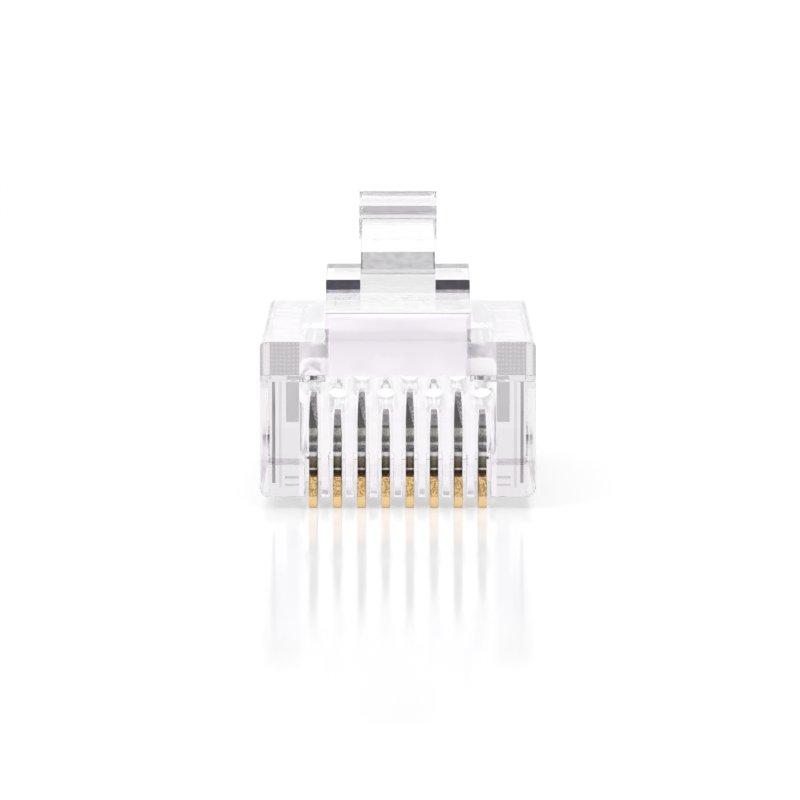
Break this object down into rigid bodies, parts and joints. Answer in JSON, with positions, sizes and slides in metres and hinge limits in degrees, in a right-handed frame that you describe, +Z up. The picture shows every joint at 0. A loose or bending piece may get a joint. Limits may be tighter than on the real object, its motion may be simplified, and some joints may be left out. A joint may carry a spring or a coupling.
{
  "type": "rj45 modular plug",
  "caption": "Clear uncrimped 8P8C modular plug with a sprung latch, proud gold-plated blade contacts and an open rear cable cavity.",
  "frame": {"origin": "on the ground plane, under the middle of the plug, level with the contacts' lower edges", "axes": "+Z up through the latch side, -Y out of the mating nose, +X to the right as seen from the front"},
  "size_m": [0.0116, 0.0216, 0.0122],
  "materials": {
    "clear_plastic": "clear glossy polycarbonate",
    "plated_contact": "gold plated crown, nickel plated neck"
  },
  "bodies": {
    "housing": {"housing": "clear_plastic"},
    "latch": {"latch": "clear_plastic"},
    "cable_clamp": {"cable_clamp": "clear_plastic"},
    "contact_1": {"contact_1": "plated_contact"},
    "contact_2": {"contact_2": "plated_contact"},
    "contact_3": {"contact_3": "plated_contact"},
    "contact_4": {"contact_4": "plated_contact"},
    "contact_5": {"contact_5": "plated_contact"},
    "contact_6": {"contact_6": "plated_contact"},
    "contact_7": {"contact_7": "plated_contact"},
    "contact_8": {"contact_8": "plated_contact"}
  },
  "joints": [
    {"name": "latch_flex", "type": "hinge", "parent": "housing", "child": "latch", "pos_m": [0, -0.01009, 0.0073], "axis": [-1, 0, 0], "range_deg": [0, 10.5], "stiffness_Nm_per_rad": 0.3},
    {"name": "clamp_fold", "type": "hinge", "parent": "housing", "child": "cable_clamp", "pos_m": [0, 0.00185, 0.00668], "axis": [-1, 0, 0], "range_deg": [0, 22]},
    {"name": "contact_1_crimp", "type": "slide", "parent": "housing", "child": "contact_1", "axis": [0, 0, 1], "range_m": [0, 0.001]},
    {"name": "contact_2_crimp", "type": "slide", "parent": "housing", "child": "contact_2", "axis": [0, 0, 1], "range_m": [0, 0.001]},
    {"name": "contact_3_crimp", "type": "slide", "parent": "housing", "child": "contact_3", "axis": [0, 0, 1], "range_m": [0, 0.001]},
    {"name": "contact_4_crimp", "type": "slide", "parent": "housing", "child": "contact_4", "axis": [0, 0, 1], "range_m": [0, 0.001]},
    {"name": "contact_5_crimp", "type": "slide", "parent": "housing", "child": "contact_5", "axis": [0, 0, 1], "range_m": [0, 0.001]},
    {"name": "contact_6_crimp", "type": "slide", "parent": "housing", "child": "contact_6", "axis": [0, 0, 1], "range_m": [0, 0.001]},
    {"name": "contact_7_crimp", "type": "slide", "parent": "housing", "child": "contact_7", "axis": [0, 0, 1], "range_m": [0, 0.001]},
    {"name": "contact_8_crimp", "type": "slide", "parent": "housing", "child": "contact_8", "axis": [0, 0, 1], "range_m": [0, 0.001]}
  ],
  "couplings": [
    {"joint": "contact_2_crimp", "follows": "contact_1_crimp", "ratio": 1},
    {"joint": "contact_3_crimp", "follows": "contact_1_crimp", "ratio": 1},
    {"joint": "contact_4_crimp", "follows": "contact_1_crimp", "ratio": 1},
    {"joint": "contact_5_crimp", "follows": "contact_1_crimp", "ratio": 1},
    {"joint": "contact_6_crimp", "follows": "contact_1_crimp", "ratio": 1},
    {"joint": "contact_7_crimp", "follows": "contact_1_crimp", "ratio": 1},
    {"joint": "contact_8_crimp", "follows": "contact_1_crimp", "ratio": 1}
  ]
}
